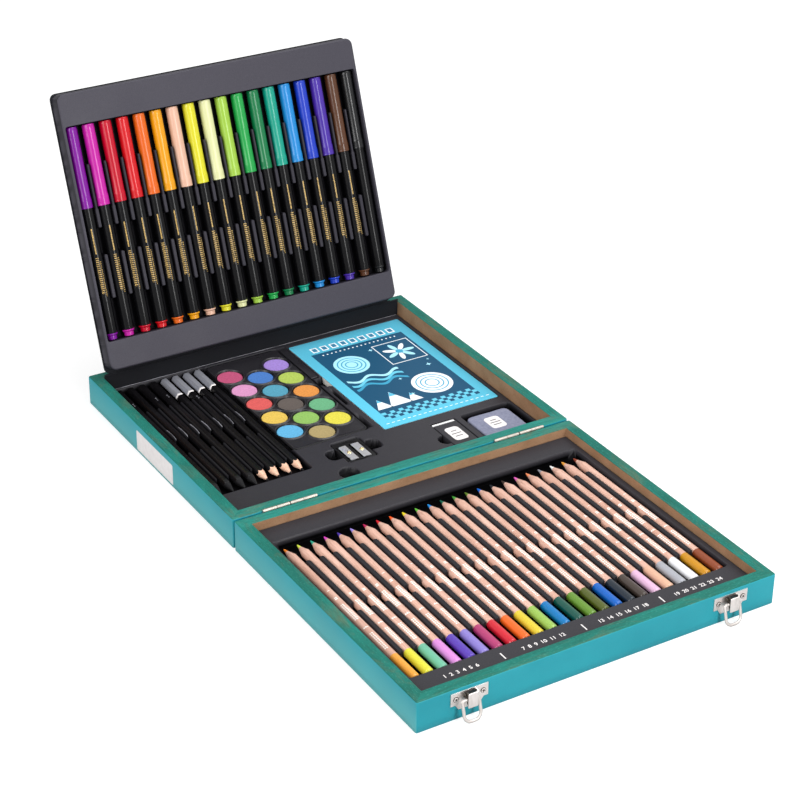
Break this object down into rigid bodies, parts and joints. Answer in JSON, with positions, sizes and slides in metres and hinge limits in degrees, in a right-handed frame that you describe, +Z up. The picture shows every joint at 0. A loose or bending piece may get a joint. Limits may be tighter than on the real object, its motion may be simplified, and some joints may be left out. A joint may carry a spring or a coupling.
{
  "type": "hinged wooden art-supply case with a fold-up marker tray",
  "caption": "Flat hinged wooden case lying open, with moulded trays of coloured pencils, sketching pencils, paint tablets, sketch pad and erasers, and a fold-up tray of markers.",
  "frame": {"origin": "centre of the base half's underside, on the table", "axes": "+Z up, +X along the seam between the halves, +Y from the seam to the back of the base half; the opened lid lies towards -Y"},
  "size_m": [0.2906, 0.5735, 0.2409],
  "materials": {
    "case_teal": "teal paint on the outer sides, teal stain on the rims",
    "panel_board": "bare fibreboard",
    "insert_black": "thermoformed sheet, satin",
    "spine_black": "dull black binding cloth",
    "sketch_black": "black lacquer",
    "bare_wood": "sanded, uncoated",
    "graphite": "dull graphite",
    "sleeve_silver": "brushed foil",
    "paints": "pressed powder colour, fifteen shades",
    "paper": "uncoated sheets",
    "pad_print": "printed card, slight sheen",
    "sharpener_black": "moulded, satin",
    "blade_steel": "ground steel",
    "brass": "plain",
    "kneaded_grey": "dull putty",
    "eraser_white": "dull",
    "sleeve_card": "dark printed card",
    "label_white": "blank white sticker",
    "pencil_natural": "clear-coated wood, matt",
    "pencil_cores": "coloured cores, twenty-four shades",
    "pencil_dip": "glossy lacquer, twenty-four shades",
    "tray_board_black": "cloth-covered board",
    "tray_grey": "thermoformed sheet, satin",
    "marker_black": "glossy",
    "marker_colour": "glossy, eighteen shades",
    "nickel": "nickel-plated sheet and wire"
  },
  "bodies": {
    "base": {"base_walls": "case_teal", "base_panel": "panel_board", "base_insert": "insert_black", "spine_strip": "spine_black", "sketch_barrels": "sketch_black", "sketch_wood_tips": "bare_wood", "sketch_leads": "graphite", "sketch_sleeves": "sleeve_silver", "paint_tablets": "paints", "pad_pages": "paper", "pad_cover": "pad_print", "sharpener_body": "sharpener_black", "sharpener_blades": "blade_steel", "sharpener_screws": "brass", "kneaded_eraser": "kneaded_grey", "block_eraser": "eraser_white", "block_sleeve": "sleeve_card", "side_label": "label_white", "base_leaf_left": "nickel", "base_leaf_right": "nickel", "hinge_pin_left": "nickel", "hinge_pin_right": "nickel", "base_leaf_screws": "nickel", "strike_left": "nickel", "strike_right": "nickel", "strike_screws": "nickel"},
    "lid": {"lid_walls": "case_teal", "lid_panel": "panel_board", "pencil_insert": "insert_black", "pencil_wood": "pencil_natural", "pencil_leads": "pencil_cores", "pencil_dips": "pencil_dip", "lid_leaf_left": "nickel", "lid_leaf_right": "nickel", "lid_leaf_screws": "nickel", "latch_plate_left": "nickel", "latch_plate_right": "nickel", "latch_pin_left": "nickel", "latch_pin_right": "nickel", "latch_screws": "nickel"},
    "marker_tray": {"tray_board": "tray_board_black", "tray_shell": "tray_grey", "marker_barrels": "marker_black", "marker_caps": "marker_colour", "marker_plugs": "marker_colour"},
    "latch_lever_left": {"latch_lever_left": "nickel"},
    "latch_lever_right": {"latch_lever_right": "nickel"},
    "latch_bail_left": {"latch_bail_left": "nickel"},
    "latch_bail_right": {"latch_bail_right": "nickel"}
  },
  "joints": [
    {"name": "lid_hinge", "type": "hinge", "parent": "base", "child": "lid", "pos_m": [0, -0.1246, 0.0245], "axis": [-1, 0, 0], "range_deg": [0, 160]},
    {"name": "marker_tray_fold", "type": "hinge", "parent": "base", "child": "marker_tray", "pos_m": [0, 0.1132, 0.0262], "axis": [1, 0, 0], "range_deg": [0, 110.3]},
    {"name": "latch_lever_left", "type": "hinge", "parent": "lid", "child": "latch_lever_left", "pos_m": [-0.1057, -0.3751, 0.019], "axis": [-1, 0, 0], "range_deg": [0, 50]},
    {"name": "latch_bail_left", "type": "hinge", "parent": "latch_lever_left", "child": "latch_bail_left", "pos_m": [-0.1057, -0.3766, 0.0159], "axis": [-1, 0, 0], "range_deg": [0, 145]},
    {"name": "latch_lever_right", "type": "hinge", "parent": "lid", "child": "latch_lever_right", "pos_m": [0.1057, -0.3751, 0.019], "axis": [-1, 0, 0], "range_deg": [0, 50]},
    {"name": "latch_bail_right", "type": "hinge", "parent": "latch_lever_right", "child": "latch_bail_right", "pos_m": [0.1057, -0.3766, 0.0159], "axis": [-1, 0, 0], "range_deg": [0, 145]}
  ]
}
